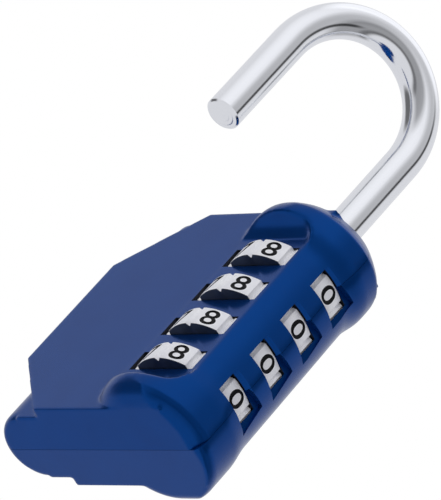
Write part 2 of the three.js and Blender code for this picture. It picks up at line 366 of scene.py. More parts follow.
class Socket:
    """A value in a material's node tree, with the arithmetic that the finishes use."""

    def __init__(self, tree: bpy.types.NodeTree, output: bpy.types.NodeSocket) -> None:
        """Wraps an output socket."""
        self.tree = tree
        self.output = output

    def _math(self, operation: str, a: object, b: object = 0.0) -> "Socket":
        """One Math node on two values, each a number or a Socket."""
        return node(self.tree, "ShaderNodeMath", {"operation": operation}, {0: a, 1: b})

    def __add__(self, other: object) -> "Socket":
        """self + other."""
        return self._math("ADD", self, other)

    def __radd__(self, other: object) -> "Socket":
        """other + self."""
        return self._math("ADD", other, self)

    def __sub__(self, other: object) -> "Socket":
        """self - other."""
        return self._math("SUBTRACT", self, other)

    def __rsub__(self, other: object) -> "Socket":
        """other - self."""
        return self._math("SUBTRACT", other, self)

    def __mul__(self, other: object) -> "Socket":
        """self * other."""
        return self._math("MULTIPLY", self, other)

    def __rmul__(self, other: object) -> "Socket":
        """other * self."""
        return self._math("MULTIPLY", other, self)

    def clamp(self, low: float, high: float, to_low: float, to_high: float) -> "Socket":
        """Maps low..high onto to_low..to_high, and holds it there outside."""
        values = {"Value": self, "From Min": low, "From Max": high, "To Min": to_low, "To Max": to_high}
        return node(self.tree, "ShaderNodeMapRange", {"clamp": True}, values)


def node(
    tree: bpy.types.NodeTree,
    kind: str,
    settings: dict[str, object] | None = None,
    values: dict[str | int, object] | None = None,
    output: str | int = 0,
) -> Socket:
    """Adds a node and wires it.

    Args:
        tree: the material's or world's node tree.
        kind: the node's type.
        settings: its properties by name, set before its sockets.
        values: numbers, colours or Sockets for its inputs, by name or place.
        output: which output is wanted.

    Returns:
        The wanted output.
    """
    made = tree.nodes.new(kind)
    for name, value in (settings or {}).items():
        setattr(made, name, value)
    for name, value in (values or {}).items():
        if isinstance(value, Socket):
            tree.links.new(value.output, made.inputs[name])
        else:
            made.inputs[name].default_value = value
    return Socket(tree, made.outputs[output])


def linear(red: int, green: int, blue: int) -> tuple[float, float, float, float]:
    """An 8-bit sRGB colour as linear light, with full alpha."""
    shares = [c / 255 for c in (red, green, blue)]
    light = [c / 12.92 if c <= 10 / 255 else ((c + 0.055) / 1.055) ** 2.4 for c in shares]
    return (light[0], light[1], light[2], 1.0)


@dataclass(frozen=True)
class Finish:
    """What all the finishes share: a named material with one Principled shader.

    Attributes:
        name: the material's name.
        colour: its base colour, as 8-bit sRGB.
        roughness: its mean roughness.
    """

    name: str
    colour: tuple[int, int, int]
    roughness: float

    def build(self) -> bpy.types.Material:
        """Makes the material, or returns it if it is made already."""
        if self.name in bpy.data.materials:
            return bpy.data.materials[self.name]
        material = bpy.data.materials.new(self.name)
        material.use_nodes = True
        tree = material.node_tree
        shader = tree.nodes["Principled BSDF"]
        shader.inputs["Base Color"].default_value = linear(*self.colour)
        shader.inputs["Roughness"].default_value = self.roughness
        self.dress(tree, shader)
        return material

    def dress(self, tree: bpy.types.NodeTree, shader: bpy.types.ShaderNode) -> None:
        """Adds the nodes of one kind of finish."""
        raise NotImplementedError

    @staticmethod
    def place(tree: bpy.types.NodeTree, scale: Point = (1, 1, 1)) -> Socket:
        """The point on the object in millimetres, stretched by scale."""
        spot = node(tree, "ShaderNodeTexCoord", output="Object")
        per_mm = [s / MILLIMETRE for s in scale]
        return node(tree, "ShaderNodeMapping", values={"Vector": spot, "Scale": per_mm})

    @staticmethod
    def noise(tree: bpy.types.NodeTree, spot: Socket, scale: float, detail: float = 3.0) -> Socket:
        """Soft noise from 0 to 1 with scale bumps per millimetre."""
        values = {"Vector": spot, "Scale": scale, "Detail": detail, "Roughness": 0.55}
        return node(tree, "ShaderNodeTexNoise", values=values, output="Fac")

    @staticmethod
    def link(tree: bpy.types.NodeTree, value: Socket, socket: bpy.types.NodeSocket) -> None:
        """Wires a value into a shader's socket."""
        tree.links.new(value.output, socket)

    def bump(
        self, tree: bpy.types.NodeTree, shader: bpy.types.ShaderNode, height: Socket, depth: float
    ) -> None:
        """Raises the surface by a height map.

        Args:
            tree: the material's node tree.
            shader: its Principled shader.
            height: the map, from 0 to 1.
            depth: how many millimetres 1 is.
        """
        values = {"Height": height, "Distance": depth * MILLIMETRE, "Strength": 1.0}
        self.link(tree, node(tree, "ShaderNodeBump", values=values), shader.inputs["Normal"])

    def shade(
        self,
        tree: bpy.types.NodeTree,
        shader: bpy.types.ShaderNode,
        amount: Socket,
        other: tuple[int, int, int],
    ) -> None:
        """Mixes the base colour towards another by a map.

        Args:
            tree: the material's node tree.
            shader: its Principled shader.
            amount: the map, 0 for the base colour and 1 for the other.
            other: the other colour, as 8-bit sRGB.
        """
        mix = tree.nodes.new("ShaderNodeMix")
        mix.data_type = "RGBA"
        mix.inputs["A"].default_value = linear(*self.colour)
        mix.inputs["B"].default_value = linear(*other)
        tree.links.new(amount.output, mix.inputs["Factor"])
        tree.links.new(mix.outputs["Result"], shader.inputs["Base Color"])


@dataclass(frozen=True)
class GlossPaint(Finish):
    """Stoved paint on a die casting: a faint orange peel, cloudy gloss and a little fine dust.

    Attributes:
        deep: the colour in the paint's thicker patches.
        gloss: how strongly its surface reflects, 0.5 being plain varnish.
        flake: how metallic its pigment is.
        coat: the weight of the clear varnish.
    """

    deep: tuple[int, int, int] = (3, 59, 128)
    gloss: float = 0.075
    flake: float = 0.62
    coat: float = 0.035

    def dress(self, tree: bpy.types.NodeTree, shader: bpy.types.ShaderNode) -> None:
        """Adds cloudiness, orange peel and gloss."""
        spot = self.place(tree)
        cloud = self.noise(tree, spot, 0.12, 2.0)
        peel = self.noise(tree, spot, 1.6, 2.0)
        dust = self.noise(tree, spot, 9.0, 1.0)
        self.shade(tree, shader, cloud.clamp(0.3, 0.75, 0.0, 0.55), self.deep)
        rough = cloud.clamp(0.3, 0.7, self.roughness * 0.85, self.roughness * 1.2) + dust * 0.03
        self.link(tree, rough, shader.inputs["Roughness"])
        self.bump(tree, shader, peel, 0.0011)
        shader.inputs["Specular IOR Level"].default_value = self.gloss
        shader.inputs["Metallic"].default_value = self.flake
        shader.inputs["Coat Weight"].default_value = self.coat
        shader.inputs["Coat Roughness"].default_value = 0.06


@dataclass(frozen=True)
class PolishedChrome(Finish):
    """Bright plating with faint drawing marks along the rod and soft hazy patches."""

    def dress(self, tree: bpy.types.NodeTree, shader: bpy.types.ShaderNode) -> None:
        """Adds haze, fine marks and a little tint."""
        marks = self.noise(tree, self.place(tree, (6.0, 6.0, 0.25)), 1.0, 4.0)
        haze = self.noise(tree, self.place(tree), 0.22, 3.0)
        shader.inputs["Metallic"].default_value = 1.0
        self.shade(tree, shader, haze.clamp(0.35, 0.7, 0.0, 0.5), (214, 218, 228))
        rough = haze.clamp(0.35, 0.7, self.roughness * 0.7, self.roughness * 1.5) + marks * 0.03
        self.link(tree, rough, shader.inputs["Roughness"])
        self.bump(tree, shader, marks, 0.0012)


@dataclass(frozen=True)
class SatinMetal(Finish):
    """Bare or lightly plated metal: cast, turned, drawn or plated, by its grain.

    Attributes:
        tint: the colour of its darker patches.
        metallic: how metallic it is.
        grain: the grain's stretch along x, y and z.
        depth: the height of the grain, in millimetres.
    """

    tint: tuple[int, int, int] = (120, 122, 128)
    metallic: float = 1.0
    grain: Point = (1.0, 1.0, 1.0)
    depth: float = 0.004

    def dress(self, tree: bpy.types.NodeTree, shader: bpy.types.ShaderNode) -> None:
        """Adds grain and cloudiness."""
        grain = self.noise(tree, self.place(tree, self.grain), 4.0, 4.0)
        cloud = self.noise(tree, self.place(tree), 0.5, 3.0)
        shader.inputs["Metallic"].default_value = self.metallic
        self.shade(tree, shader, cloud.clamp(0.35, 0.75, 0.0, 0.6), self.tint)
        rough = cloud.clamp(0.3, 0.7, self.roughness * 0.8, self.roughness * 1.25) + grain * 0.06
        self.link(tree, rough, shader.inputs["Roughness"])
        self.bump(tree, shader, grain, self.depth)


@dataclass(frozen=True)
class EngravingInk(Finish):
    """Black paint wiped into the engraved numerals."""

    def dress(self, tree: bpy.types.NodeTree, shader: bpy.types.ShaderNode) -> None:
        """Adds a slightly uneven, half-dull surface."""
        blot = self.noise(tree, self.place(tree), 3.0, 3.0)
        self.shade(tree, shader, blot.clamp(0.35, 0.75, 0.0, 0.7), (20, 21, 27))
        self.link(tree, blot.clamp(0.3, 0.7, 0.4, 0.6), shader.inputs["Roughness"])
        self.bump(tree, shader, blot, 0.004)
        shader.inputs["Specular IOR Level"].default_value = 0.2


class Finishes:
    """The lock's finishes."""

    PAINT = GlossPaint("blue_gloss_paint", (3, 64, 136), 0.2)
    CHROME = PolishedChrome("shackle_chrome", (236, 238, 243), 0.07)
    DIAL_RIM = SatinMetal("dial_rim_silver", (254, 254, 255), 0.3, (240, 241, 247), 0.2, (1, 1, 3), 0.003)
    DIAL_SIDE = SatinMetal("dial_side_slate", (42, 54, 78), 0.38, (26, 36, 54), 0.4, (1, 1, 1), 0.003)
    INK = EngravingInk("numeral_ink", (5, 5, 7), 0.4)
    # Painted shade: a dark colour on the walls of the pockets, bore and slots that stands for the shade
    # inside them.
    POCKET = SatinMetal("pocket_shadow_zinc", (30, 34, 46), 0.6, (16, 20, 30), 0.3, (1, 1, 1), 0.01)
    ZINC = SatinMetal("cast_zinc", (158, 160, 166), 0.5, (118, 120, 126), 0.9, (1, 1, 1), 0.01)
    BRASS = SatinMetal("turned_brass", (196, 158, 84), 0.3, (150, 112, 52), 1.0, (1, 1, 6), 0.004)
    SPRING = SatinMetal("spring_steel", (150, 153, 158), 0.3, (98, 100, 106), 1.0, (3, 3, 1), 0.003)


def paint(piece: bpy.types.Object, *finishes: Finish) -> bpy.types.Object:
    """Gives a piece these finishes as its material slots, in order."""
    piece.data.materials.clear()
    for finish in finishes:
        piece.data.materials.append(finish.build())
    return piece


# ---- The body --------------------------------------------------------------------------------------


@dataclass(frozen=True)
class HalfShape:
    """What differs between the front and the back half of the casting.

    Attributes:
        name: the half's name.
        zone_right: where the flat along the dials ends.
        bottom_slope: the barrel's lower end, as [radius, height above the end] points.
        bottom_dome: the radius that the lower end is rounded with towards the half's face.
    """

    name: str
    zone_right: float
    bottom_slope: Outline
    bottom_dome: float


@dataclass
class BodyShells:
    """The painted casting, in a front and a back shell that meet along the middle of the lock.

    Each half is modelled past the seam and remeshed, so that its inner corners run together as they do in
    a casting. The windows and hollows are cut afterwards and stay crisp. The back half is modelled facing
    the front and then mirrored; its flat ends sooner, so the barrel stays rounder behind the windows.
    """

    plate_half: float = 7.34
    plate_left: float = -31.95
    corner_x: float = -19.75
    edge_low: float = -11.35
    edge_high: float = 11.65
    slab_half: float = 5.8
    slab_edge_x: float = -25.0
    lobe_radius: float = 11.0
    waist_low: float = 10.5
    waist_high: float = 10.18
    flank_fillet: float = 2.0
    top_dome: float = 4.2
    top_slope: Outline = ((8.0, -0.1), (9.3, 1.2), (10.3, 2.3), (11.02, 3.35))
    front: HalfShape = HalfShape(
        "front_shell_casting", 7.45, ((9.0, -0.1), (10.1, 1.15), (10.7, 2.0), (11.02, 2.8)), 4.2
    )
    back: HalfShape = HalfShape(
        "back_shell_casting", 4.05, ((9.9, -0.1), (10.5, 0.5), (10.85, 1.1), (11.02, 1.9)), 2.6
    )
    end_draft: float = 0.53
    seam_half: float = 0.03
    past_seam: float = 1.5
    voxel: float = 0.26
    sharp_angle: float = 25.0
    pocket_radius: float = 9.72
    pocket_half: float = 2.1
    window_far: float = 12.5
    recess_floor: float = 9.05

    def build(self) -> list[bpy.types.Object]:
        """Makes both shells.

        Returns:
            The front shell and the back shell.
        """
        front = self._cast_half(self.front)
        back = self._cast_half(self.back)
        select_only(back)
        back.scale = (1, -1, 1)
        bpy.ops.object.transform_apply(location=True, rotation=True, scale=True)
        finish_mesh(back)
        for shell in (front, back):
            paint(shell, Finishes.PAINT)
            # The hollows' walls take the dark pocket finish, which is painted shade inside the pockets.
            combine(shell, paint(self._hollows(), Finishes.POCKET), Cut.AWAY)
        for z in DIAL_HEIGHTS:
            combine(front, paint(self._front_window(z), Finishes.PAINT), Cut.AWAY)
            combine(back, paint(self._back_window(z), Finishes.PAINT), Cut.AWAY)
        return [place_in_row(shell, self.sharp_angle) for shell in (front, back)]

    def _cast_half(self, shape: HalfShape) -> bpy.types.Object:
        """One half of the casting, facing the front and cut off at the seam.

        Args:
            shape: what sets this half apart.

        Returns:
            The half.
        """
        half = self._rough_half(shape)
        apply_modifier(half, "REMESH", mode="VOXEL", voxel_size=self.voxel, adaptivity=0.0)
        apply_modifier(half, "SMOOTH", factor=0.5, iterations=4)
        ridge_left = shape.zone_right - 1.4
        self._soften(half, 26, lambda p: p.y < -7.5 and 17.6 < abs(p.z) < 21.5 and p.x > -9)
        self._soften(half, 12, lambda p: p.y < -6.3 and ridge_left < p.x < 8.6 and abs(p.z) < 18)
        with editing(half, "FACE"):
            bpy.ops.mesh.select_all(action="SELECT")
            bpy.ops.mesh.bisect(
                plane_co=(0, -self.seam_half, 0), plane_no=(0, 1, 0), use_fill=True, clear_outer=True
            )
        half.name = shape.name
        return half

    def _soften(self, piece: bpy.types.Object, times: int, where: Callable[[Vector], bool]) -> None:
        """Smooths one region of the casting.

        Args:
            piece: the remeshed casting.
            times: how many times the region is smoothed.
            where: says whether a point lies in the region.
        """
        group = piece.vertex_groups.new(name="soft")
        group.add([v.index for v in piece.data.vertices if where(v.co)], 1.0, "REPLACE")
        apply_modifier(piece, "SMOOTH", factor=0.5, iterations=times, vertex_group="soft")
        piece.vertex_groups.clear()

    def _rough_half(self, shape: HalfShape) -> bpy.types.Object:
        """One half with sharp corners, reaching past the seam.

        Args:
            shape: what sets this half apart.

        Returns:
            The half.
        """
        barrel = self._lobes()
        combine(barrel, self._waist_tool(), Cut.AWAY)
        for side, slope, dome in (
            (-1, shape.bottom_slope, shape.bottom_dome),
            (1, self.top_slope, self.top_dome),
        ):
            combine(barrel, self._end_tool(side, slope), Cut.AWAY)
            combine(barrel, self._front_edge_tool(side, dome), Cut.AWAY)
            combine(barrel, self._flank_end_tool(side, dome), Cut.AWAY)
        half = self._plate()
        combine(half, self._slab(), Cut.JOIN)
        combine(half, self._slab_edge(), Cut.JOIN)
        combine(half, barrel, Cut.JOIN)
        combine(half, self._zone_tool(shape.zone_right), Cut.AWAY)
        for height, side in ((BODY_BOTTOM, -1), (BODY_TOP, 1)):
            with editing(half, "FACE"):
                bpy.ops.mesh.select_all(action="SELECT")
                bpy.ops.mesh.bisect(
                    plane_co=(0, 0, height),
                    plane_no=Vector((0, -self.end_draft, side * self.plate_half)).normalized(),
                    use_fill=True,
                    clear_outer=True,
                )
        return half

    def _plate(self) -> bpy.types.Object:
        """The octagonal plate, longer than it will be so that its drafted ends can be cut.

        Returns:
            The plate.
        """
        spare = 1.0
        right = 6.8
        slope_low = (self.edge_low - BODY_BOTTOM) / (self.corner_x - self.plate_left)
        slope_high = (BODY_TOP - self.edge_high) / (self.corner_x - self.plate_left)
        outline = [
            (right, BODY_BOTTOM - spare),
            (right, BODY_TOP + spare),
            (self.corner_x + spare / slope_high, BODY_TOP + spare),
            (self.plate_left, self.edge_high),
            (self.plate_left, self.edge_low),
            (self.corner_x + spare / slope_low, BODY_BOTTOM - spare),
        ]
        depth = self.plate_half + self.past_seam
        return pulled("plate", [(x, -self.plate_half, z) for x, z in outline], (0, depth, 0))

    def _slab(self) -> bpy.types.Object:
        """The thinner slab that the plate stands on."""
        return block(
            "slab", (self.slab_edge_x, -self.slab_half, BODY_BOTTOM - 1), (0, self.past_seam, BODY_TOP + 1)
        )

    def _slab_edge(self) -> bpy.types.Object:
        """The slab's full round edge, with softened ends.

        Returns:
            The edge, as a whole upright column.
        """
        soft = 1.6
        low = arc(self.slab_half - soft, BODY_BOTTOM + soft, soft, -90, 0, 6)
        high = arc(self.slab_half - soft, BODY_TOP - soft, soft, 0, 90, 6)
        outline = [(0.0, BODY_BOTTOM), *low, *high, (0.0, BODY_TOP)]
        return turned("slab_edge", outline, 64, self.slab_edge_x)

    def _lobes(self) -> bpy.types.Object:
        """The barrel over the dials, blended into the plate along its left side.

        Returns:
            The barrel, as one straight length.
        """
        fillet = self.flank_fillet
        out = self.lobe_radius + fillet
        down = self.plate_half + fillet
        across = math.sqrt(out * out - down * down)
        meet = math.degrees(math.atan2(down, across))
        blend = arc(-across, -down, fillet, 90, meet, 8)
        sweep = arc(0, 0, self.lobe_radius, meet - 180, 8, 56)
        left = -across - 1
        outline = [(left, self.past_seam), (left, -self.plate_half), *blend, *sweep[1:]]
        spare = 1.0
        base = [(x, y, BODY_BOTTOM - spare) for x, y in outline]
        return pulled("lobes", base, (0, 0, BODY_TOP - BODY_BOTTOM + 2 * spare))

    def _waist_tool(self) -> bpy.types.Object:
        """What makes the barrel slimmer past the dials.

        Returns:
            The cutting tool.
        """
        outer = self.lobe_radius + 4
        low, high, ease = -17.8, 18.8, 5.0
        full = self.lobe_radius + 0.02
        steps = 10
        inner = []
        for i in range(steps + 1):
            share = smoothstep(i / steps)
            inner.append((full + (self.waist_low - full) * share, low + ease * i / steps))
        for i in range(steps + 1):
            share = smoothstep(1 - i / steps)
            inner.append((full + (self.waist_high - full) * share, high - ease + ease * i / steps))
        return turned("waist_tool", [(outer, low), *inner, (outer, high), (outer, low)], 96)

    def _end_tool(self, side: int, slope: Sequence[tuple[float, float]]) -> bpy.types.Object:
        """What slopes the barrel's end in to a crisp edge on the end face.

        Args:
            side: 1 for the top end and -1 for the bottom end.
            slope: the end's outline, as [radius, distance from the end] points.

        Returns:
            The cutting tool.
        """
        end = BODY_TOP if side > 0 else BODY_BOTTOM
        inner = [(r, end - side * depth) for r, depth in slope]
        outer = self.lobe_radius + 4
        crest = inner[0][0]
        outline = [(crest, end + side * 2), *inner, (outer, inner[-1][1]), (outer, end + side * 2)]
        return turned("end_tool", [*outline, outline[0]], 96)

    def _front_edge_tool(self, side: int, radius: float) -> bpy.types.Object:
        """What rounds the right half of the barrel's end towards the half's face.

        Args:
            side: 1 for the top end and -1 for the bottom end.
            radius: the rounding's radius.

        Returns:
            The cutting tool.
        """
        bend, corner = self._dome_outline(side, radius)
        outline = [(0.0, -r, z) for r, z in [*bend, *corner]]
        return pulled("front_edge_tool", outline, (16, 0, 0))

    def _flank_end_tool(self, side: int, radius: float) -> bpy.types.Object:
        """What rounds the left half of the barrel's end like a dome.

        Args:
            side: 1 for the top end and -1 for the bottom end.
            radius: the dome's radius.

        Returns:
            The cutting tool.
        """
        bend, corner = self._dome_outline(side, radius)
        ring = turned("flank_end_tool", [*bend, *corner, bend[0]], 96)
        return combine(ring, block("left_half", (-20, -20, -40), (0.6, 5, 40)), Cut.COMMON)

    def _dome_outline(
        self, side: int, radius: float
    ) -> tuple[list[tuple[float, float]], list[tuple[float, float]]]:
        """The outline of the tools that round the barrel's ends.

        Args:
            side: 1 for the top end and -1 for the bottom end.
            radius: the rounding's radius.

        Returns:
            The round between the barrel's side and its end face, and the tool's outer corners.
        """
        end = BODY_TOP if side > 0 else BODY_BOTTOM
        z = end - side * (radius + self.end_draft * 0.9)
        bend = arc(self.lobe_radius - radius, z, radius, 0, side * 90, 12)
        outer = self.lobe_radius + 3
        return bend, [(bend[-1][0], end + side * 3), (outer, end + side * 3), (outer, z)]

    def _zone_tool(self, right: float) -> bpy.types.Object:
        """What cuts the flat along the dials, with a cove at either end.

        Args:
            right: where the flat ends.

        Returns:
            The cutting tool.
        """
        left, corner = -14.0, 2.4
        reach = 16.9
        low = arc(right - corner, corner - reach, corner, -90, 0, 8)
        high = arc(right - corner, reach - corner, corner, 0, 90, 8)
        floor = -self.plate_half - 0.02
        outline = [(left, -reach), *low, *high, (left, reach)]
        tool = trace("zone_tool", [(x, floor, z) for x, z in outline])
        bend = 4.38
        start, end = math.radians(25), math.radians(85)
        steps = 10
        with editing(tool, "FACE"):
            bpy.ops.mesh.select_all(action="SELECT")
            rise, half = 0.0, reach
            for i in range(1, steps + 1):
                slope = start + (end - start) * i / steps
                out = bend * (math.cos(start) - math.cos(slope))
                there = reach + bend * (math.sin(slope) - math.sin(start))
                bpy.ops.mesh.extrude_region_move(TRANSFORM_OT_translate={"value": (0, rise - out, 0)})
                bpy.ops.transform.resize(value=(1, 1, there / half), center_override=(0, 0, 0))
                rise, half = out, there
            bpy.ops.mesh.extrude_region_move(TRANSFORM_OT_translate={"value": (0, -4, 0)})
        return finish_mesh(tool)

    def _front_window(self, z: float) -> bpy.types.Object:
        """A numeral window's opening in the front shell, bevelled along its upper side."""
        return self._window(z, -20.5, 0.5)

    def _back_window(self, z: float) -> bpy.types.Object:
        """The window's opening in the back shell, with the recess that flares from it.

        Args:
            z: the height of the dial's middle.

        Returns:
            The cutting tool.
        """
        opening = self._window(z, -0.5, 19.3)
        flare = [(-0.5, -2.4), (-0.5, 2.35), (0.0, 2.35), (4.0, 3.3), (5.2, -2.3)]
        recess = pulled("recess", [(self.recess_floor, y, z + dz) for y, dz in flare], (4, 0, 0))
        return combine(opening, recess, Cut.JOIN)

    def _window(self, z: float, start: float, end: float) -> bpy.types.Object:
        """A slot through the barrel's wall, with a bevel on its upper side.

        Args:
            z: the height of the dial's middle.
            start: the angle where the slot starts, in degrees from +X.
            end: the angle where it ends.

        Returns:
            The cutting tool.
        """
        near, far = 7.5, self.window_far
        outline = [
            (near, -2.1), (9.8, -2.1), (10.2, -2.4), (far, -2.4), (far, 4.2), (9.6, 1.85), (near, 1.85)
        ]  # fmt: skip
        tool = trace("window", [(r, 0.0, z + dz) for r, dz in outline])
        turn = Matrix.Rotation(math.radians(start), 4, "Z")
        select_only(tool)
        tool.matrix_world = turn
        bpy.ops.object.transform_apply(location=True, rotation=True, scale=True)
        with editing(tool, "FACE"):
            bpy.ops.mesh.select_all(action="SELECT")
            bpy.ops.mesh.spin(steps=12, angle=math.radians(start - end), center=(0, 0, 0), axis=(0, 0, 1))
        return finish_mesh(tool)

    def _hollows(self) -> bpy.types.Object:
        """All that is hollow inside: pockets, the stepped bore, the toe hole and the comb's slot.

        Returns:
            One tool that cuts it all.
        """
        hole = ROD_RADIUS + 0.3
        tool = turned(
            "hollows",
            [
                (0, -22.9), (3.4, -22.9), (3.4, -18.2), (5.4, -18.2), (5.4, 18.1), (4.4, 18.1),
                (4.4, 23.1), (hole, 23.1), (hole, BODY_TOP + 1), (0, BODY_TOP + 1),
            ],
            48,
        )  # fmt: skip
        for z in DIAL_HEIGHTS:
            low, high = z - self.pocket_half, z + self.pocket_half
            combine(tool, cylinder("pocket", self.pocket_radius, low, high, 96), Cut.JOIN)
            combine(tool, block("slot", (-7.0, -8.6, low), (0, 8.6, high)), Cut.JOIN)
        toe_hole = cylinder("toe_hole", hole, BODY_TOP - 7.2, BODY_TOP + 1, 48, -SPAN)
        combine(tool, toe_hole, Cut.JOIN)
        combine(tool, block("comb_slot", (-12.4, -2, -17.6), (-8.6, 2, 17.6)), Cut.JOIN)
        return tool


# ---- The dials -------------------------------------------------------------------------------------


@dataclass
class NumberDial:
    """A dial's rim: ten crowned facets between V grooves, with engraved and inked numerals."""

    radius: float = 9.38
    width: float = 3.8
    bore: float = 5.4
    groove: float = 0.6
    groove_half: float = 3.2
    numeral_height: float = 3.15
    numeral_widening: float = 1.36
    numeral_weight: float = 0.05
    capital_share: float = 0.7
    engraving: float = 0.16
    sharp_angle: float = 25.0

    def build(self) -> list[bpy.types.Object]:
        """Makes one dial, then copies it to the other three places.

        Returns:
            The four dials, from the top one down.
        """
        master = self._rim()
        numerals = self._numerals()
        paint(numerals, Finishes.INK)
        combine(master, numerals, Cut.AWAY)
        dials = []
        for i, z in enumerate(DIAL_HEIGHTS):
            dial = copy_of(master, f"number_dial_{i + 1}")
            dial.location = (0, 0, z)
            bpy.ops.object.transform_apply(location=True, rotation=True, scale=True)
            dials.append(place_in_row(dial, self.sharp_angle))
        bpy.data.objects.remove(master)
        return dials

    def _rim(self) -> bpy.types.Object:
        """The rim with its grooves, bore and keyway, silver on the facets and slate on the sides.

        Returns:
            The rim, standing about the dials' axis at height 0.
        """
        outline = []
        steps = 8
        for digit in range(10):
            middle = 36 * digit
            for i in range(steps + 1):
                a = math.radians(middle + (i / steps - 0.5) * 2 * (18 - self.groove_half))
                outline.append((self.radius * math.cos(a), self.radius * math.sin(a), -self.width / 2))
            a = math.radians(middle + 18)
            deep = self.radius - self.groove
            outline.append((deep * math.cos(a), deep * math.sin(a), -self.width / 2))
        rim = pulled("dial_rim", outline, (0, 0, self.width))
        with editing(rim, "EDGE"):
            pick_edges(rim, lambda a, b: abs(a.z - b.z) < 0.01)
            bpy.ops.mesh.bevel(offset=0.14, segments=2)
        paint(rim, Finishes.DIAL_RIM, Finishes.DIAL_SIDE)
        for face in rim.data.polygons:
            face.material_index = 1 if abs(face.normal.z) > 0.9 else 0
        bore = paint(cylinder("bore", self.bore, -4, 4, 48), Finishes.DIAL_SIDE)
        combine(rim, bore, Cut.AWAY)
        keyway = paint(block("keyway", (-1.0, 0, -4), (1.0, 6.5, 4)), Finishes.DIAL_SIDE)
        return combine(rim, keyway, Cut.AWAY)

    def _numerals(self) -> bpy.types.Object:
        """The ten numerals, each standing upright on its facet.

        Returns:
            One tool that engraves them all.
        """
        cutters = []
        for digit in range(10):
            deselect_all()
            bpy.ops.object.text_add()
            letter = bpy.context.object
            letter.data.body = str(digit)
            letter.data.align_x = "CENTER"
            letter.data.align_y = "CENTER"
            letter.data.size = self.numeral_height / self.capital_share
            letter.data.offset = self.numeral_weight
            letter.data.extrude = self.engraving * 2
            letter.data.resolution_u = 6
            bpy.ops.object.convert(target="MESH")
            letter = bpy.context.object
            centre = sum((Vector(corner) for corner in letter.bound_box), Vector()) / 8
            scale = self.numeral_height / letter.dimensions.y
            upright = Matrix.Rotation(math.radians(90), 4, "Z") @ Matrix.Rotation(math.radians(90), 4, "X")
            out = self.radius + self.engraving
            letter.matrix_world = (
                Matrix.Rotation(math.radians(36 * digit), 4, "Z")
                @ Matrix.Translation((out, 0, 0))
                @ upright
                @ Matrix.Diagonal((self.numeral_widening * scale, scale, 1, 1))
                @ Matrix.Translation((-centre.x, -centre.y, 0))
            )
            bpy.ops.object.transform_apply(location=True, rotation=True, scale=True)
            finish_mesh(letter, 0.01)
            cutters.append(letter)
        select_only(*cutters)
        bpy.ops.object.join()
        joined = bpy.context.object
        joined.name = "numeral_tool"
        return joined


# ---- The shackle -----------------------------------------------------------------------------------


